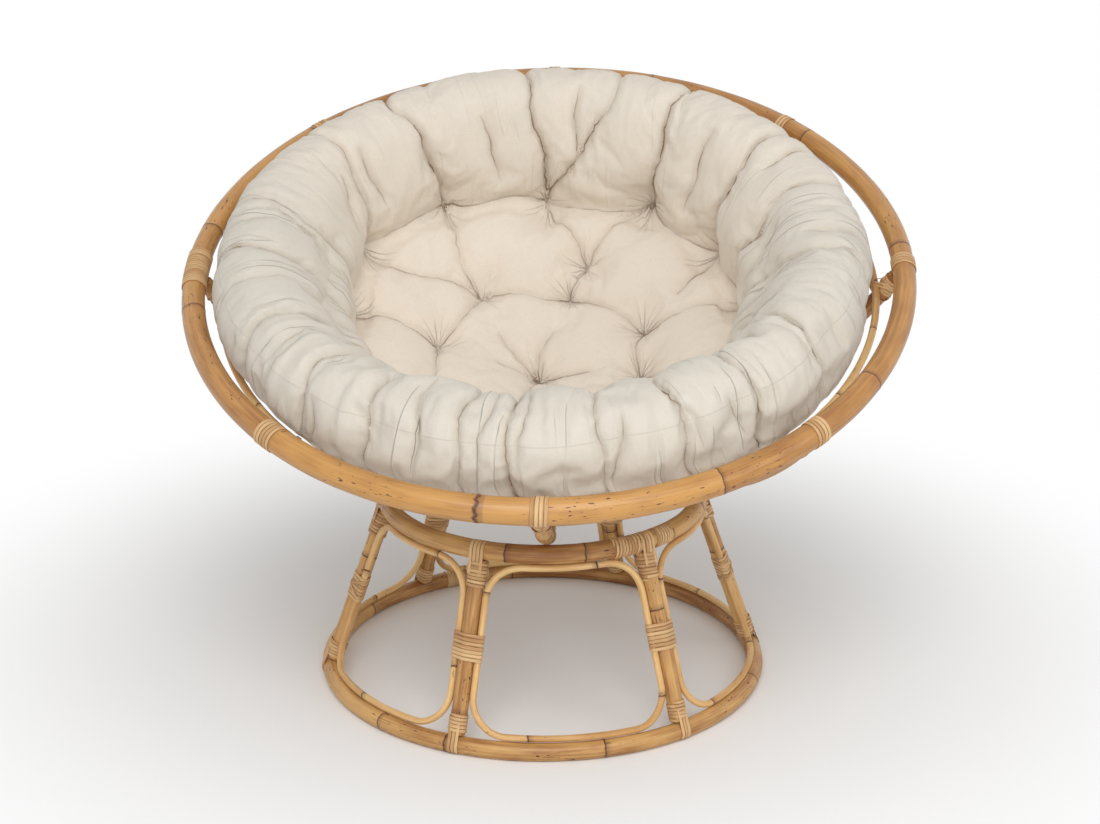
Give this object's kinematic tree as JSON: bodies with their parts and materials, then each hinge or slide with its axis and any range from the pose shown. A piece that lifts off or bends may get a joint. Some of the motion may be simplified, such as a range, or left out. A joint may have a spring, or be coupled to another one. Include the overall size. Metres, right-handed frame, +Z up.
{
  "type": "papasan chair",
  "caption": "Round rattan bowl chair with a tufted cotton cushion. The bowl rests on a round rattan base and tilts in it.",
  "frame": {"origin": "under the middle of the chair's outline, on the floor", "axes": "+Z up, the bowl leans and opens towards -Y, +X to the right of a viewer in front"},
  "size_m": [1.1058, 1.0316, 0.8423],
  "materials": {
    "rim_pole": "varnished rattan pole, orange-tan",
    "base_poles": "varnished rattan pole, tan-brown",
    "thin_canes": "varnished thin cane, pale yellow",
    "peel_bindings": "rattan peel, pale, satin",
    "cushion_cotton": "plain woven cotton, ecru"
  },
  "bodies": {
    "base": {"floor_ring": "base_poles", "top_ring": "base_poles", "leg_1": "base_poles", "leg_2": "base_poles", "leg_3": "base_poles", "leg_4": "base_poles", "leg_5": "base_poles", "leg_6": "base_poles", "window_cane_1": "thin_canes", "window_cane_2": "thin_canes", "window_cane_3": "thin_canes", "window_cane_4": "thin_canes", "window_cane_5": "thin_canes", "window_cane_6": "thin_canes", "middle_binding_1": "peel_bindings", "middle_binding_2": "peel_bindings", "middle_binding_3": "peel_bindings", "middle_binding_4": "peel_bindings", "middle_binding_5": "peel_bindings", "middle_binding_6": "peel_bindings", "head_binding_1": "peel_bindings", "head_binding_2": "peel_bindings", "head_binding_3": "peel_bindings", "head_binding_4": "peel_bindings", "head_binding_5": "peel_bindings", "head_binding_6": "peel_bindings", "foot_binding_1": "peel_bindings", "foot_binding_2": "peel_bindings", "foot_binding_3": "peel_bindings", "foot_binding_4": "peel_bindings", "foot_binding_5": "peel_bindings", "foot_binding_6": "peel_bindings"},
    "bowl": {"rim": "rim_pole", "rib_1": "base_poles", "rib_2": "base_poles", "rib_3": "base_poles", "rib_4": "base_poles", "rib_5": "base_poles", "rib_6": "base_poles", "rib_7": "base_poles", "rib_8": "base_poles", "upper_hoop": "thin_canes", "middle_hoop": "thin_canes", "lower_hoop": "thin_canes", "hub_hoop": "thin_canes", "rim_binding_1": "peel_bindings", "rim_binding_2": "peel_bindings", "rim_binding_3": "peel_bindings", "rim_binding_4": "peel_bindings", "rim_binding_5": "peel_bindings", "rim_binding_6": "peel_bindings", "rim_binding_7": "peel_bindings", "rim_binding_8": "peel_bindings", "rib_collar": "peel_bindings"},
    "cushion": {"cushion": "cushion_cotton"}
  },
  "joints": [
    {"name": "bowl_tilt", "type": "hinge", "parent": "base", "child": "bowl", "pos_m": [0.00057, -0.09861, 0.85694], "axis": [1, 0, 0], "range_deg": [-21.3, 12]},
    {"name": "cushion_lift", "type": "slide", "parent": "bowl", "child": "cushion", "axis": [0, -0.3633, 0.9317], "range_m": [0, 0.35]}
  ]
}
